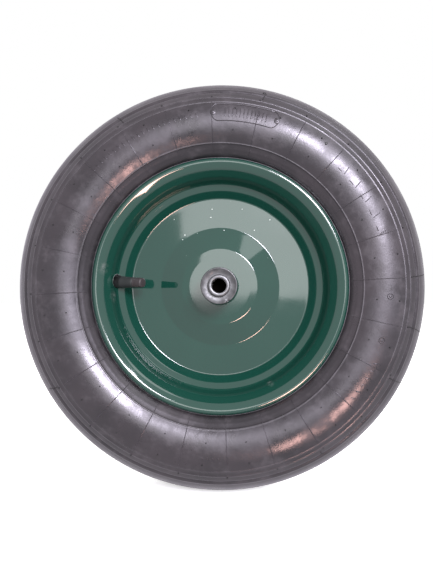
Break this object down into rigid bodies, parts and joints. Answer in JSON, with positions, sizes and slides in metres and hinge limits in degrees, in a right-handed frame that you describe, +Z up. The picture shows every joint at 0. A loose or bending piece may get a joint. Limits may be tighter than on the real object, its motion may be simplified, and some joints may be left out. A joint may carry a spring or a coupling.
{
  "type": "wheelbarrow wheel",
  "caption": "Pneumatic barrow wheel: ribbed rubber tyre and inner tube on a green pressed-steel dished rim, ball-bearing hub and angled valve.",
  "frame": {"origin": "centre of the wheel, on its axle line, midway between the hub's end faces", "axes": "+Y along the axle from the valve side (front, -Y) to the back; +X to the right seen from the valve side; +Z up"},
  "size_m": [0.38, 0.099, 0.38],
  "materials": {
    "tyre_rubber": "satin moulded black rubber",
    "tube_rubber": "smooth butyl rubber, powdered",
    "green_enamel": "gloss dark green enamel",
    "race_steel": "turned steel, satin",
    "bearing_steel": "polished steel",
    "cage_steel": "drawn steel",
    "shield_zinc": "zinc-plated steel, satin",
    "brass": "turned",
    "valve_rubber": "matt moulded rubber",
    "cap_plastic": "satin moulded plastic"
  },
  "bodies": {
    "axle_set": {"inner_race_front": "race_steel", "inner_race_back": "race_steel", "spacer_sleeve": "cage_steel"},
    "wheel": {"tyre": "tyre_rubber", "bead_wire_back": "bearing_steel", "bead_wire_front": "bearing_steel", "inner_tube": "tube_rubber", "rim_half_back": "green_enamel", "rim_half_front": "green_enamel", "rim_seam_weld": "green_enamel", "hub_tube": "green_enamel", "hub_weld_back": "green_enamel", "hub_weld_front": "green_enamel", "outer_race_back": "bearing_steel", "outer_race_front": "bearing_steel", "dust_shield_back": "shield_zinc", "dust_shield_front": "shield_zinc", "valve_stem": "valve_rubber", "valve_insert": "brass", "valve_core": "brass", "valve_spring": "bearing_steel"},
    "bearing_front": {"bearing_balls_front": "bearing_steel", "ball_cage_front": "cage_steel"},
    "bearing_back": {"bearing_balls_back": "bearing_steel", "ball_cage_back": "cage_steel"},
    "valve_pin": {"valve_pin": "brass", "valve_seal": "valve_rubber"},
    "cap_washer": {"cap_seal": "valve_rubber"},
    "valve_cap": {"valve_cap": "cap_plastic"}
  },
  "joints": [
    {"name": "wheel_spin", "type": "hinge", "parent": "axle_set", "child": "wheel", "pos_m": [0, 0, 0], "axis": [0, 1, 0], "continuous": true},
    {"name": "bearing_front_roll", "type": "hinge", "parent": "axle_set", "child": "bearing_front", "pos_m": [0, -0.0405, 0], "axis": [0, 1, 0], "continuous": true},
    {"name": "bearing_back_roll", "type": "hinge", "parent": "axle_set", "child": "bearing_back", "pos_m": [0, 0.0405, 0], "axis": [0, 1, 0], "continuous": true},
    {"name": "valve_pin_press", "type": "slide", "parent": "wheel", "child": "valve_pin", "axis": [-0.8652, 0.5, 0.0378], "range_m": [0, 0.0015], "stiffness_N_per_m": 900, "springref_m": -0.001, "deforming": ["valve_spring"]},
    {"name": "cap_lift", "type": "slide", "parent": "wheel", "child": "cap_washer", "axis": [0.8652, -0.5, -0.0378], "range_m": [0, 0.00556]},
    {"name": "cap_turn", "type": "hinge", "parent": "cap_washer", "child": "valve_cap", "pos_m": [-0.06895, -0.02885, 0.00301], "axis": [0.8652, -0.5, -0.0378], "range_deg": [0, 2522]}
  ],
  "couplings": [
    {"joint": "bearing_front_roll", "follows": "wheel_spin", "ratio": 0.59259},
    {"joint": "bearing_back_roll", "follows": "wheel_spin", "ratio": 0.59259},
    {"joint": "cap_turn", "follows": "cap_lift", "rad_per_m": 7913.3}
  ]
}
